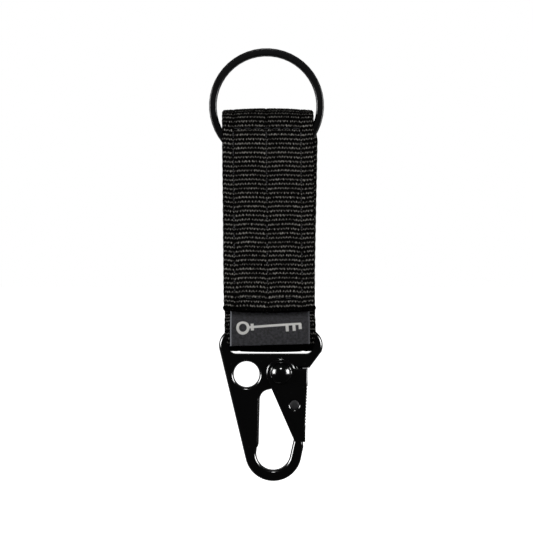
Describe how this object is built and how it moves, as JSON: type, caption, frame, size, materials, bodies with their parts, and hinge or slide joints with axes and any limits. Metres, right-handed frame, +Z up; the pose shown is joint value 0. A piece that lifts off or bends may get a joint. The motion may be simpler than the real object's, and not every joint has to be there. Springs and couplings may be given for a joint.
{
  "type": "key organiser",
  "caption": "Webbing key strap with a hook-and-loop flap folded over a split ring, and a sprung snap clip hanging in its lower loop.",
  "frame": {"origin": "middle of the strap's flat back face", "axes": "+X to the right seen from the front, +Y to the back, +Z up towards the ring"},
  "size_m": [0.0319, 0.0071, 0.1204],
  "materials": {
    "webbing": "ribbed black nylon webbing",
    "tape": "black hook and loop tape",
    "thread": "dark bonded thread",
    "label": "charcoal woven label",
    "ring": "satin black plated steel",
    "clip": "gloss black coated steel",
    "spring": "drawn spring wire"
  },
  "bodies": {
    "strap": {"strap_webbing": "webbing", "loop_tape": "tape", "loop_seam_left": "thread", "loop_seam_right": "thread", "loop_seam_top": "thread", "loop_seam_bottom": "thread", "loop_closing_seam": "thread", "label": "label"},
    "flap": {"flap_webbing": "webbing", "hook_tape": "tape", "flap_seam_left": "thread", "flap_seam_centre": "thread", "flap_seam_right": "thread", "flap_seam_top": "thread", "flap_seam_bottom": "thread"},
    "ring": {"split_ring": "ring"},
    "clip": {"clip_body": "clip", "pivot_rivet": "clip"},
    "gate": {"gate_channel": "clip", "spring_post": "clip", "torsion_spring": "spring"}
  },
  "joints": [
    {"name": "flap_open", "type": "hinge", "parent": "strap", "child": "flap", "pos_m": [0, -0.0066, 0.0302], "axis": [-1, 0, 0], "range_deg": [0, 150]},
    {"name": "ring_spin", "type": "hinge", "parent": "strap", "child": "ring", "pos_m": [-0.00055, -0.00275, 0.0345], "axis": [0, 1, 0], "continuous": true},
    {"name": "clip_swing", "type": "hinge", "parent": "strap", "child": "clip", "pos_m": [0, -0.00295, -0.02885], "axis": [1, 0, 0], "range_deg": [-90, 90]},
    {"name": "gate_pivot", "type": "hinge", "parent": "clip", "child": "gate", "pos_m": [0.00344, -0.00295, -0.03978], "axis": [0, 1, 0], "range_deg": [0, 26], "stiffness_Nm_per_rad": 0.02, "springref_deg": -11.46, "deforming": ["torsion_spring"]}
  ]
}
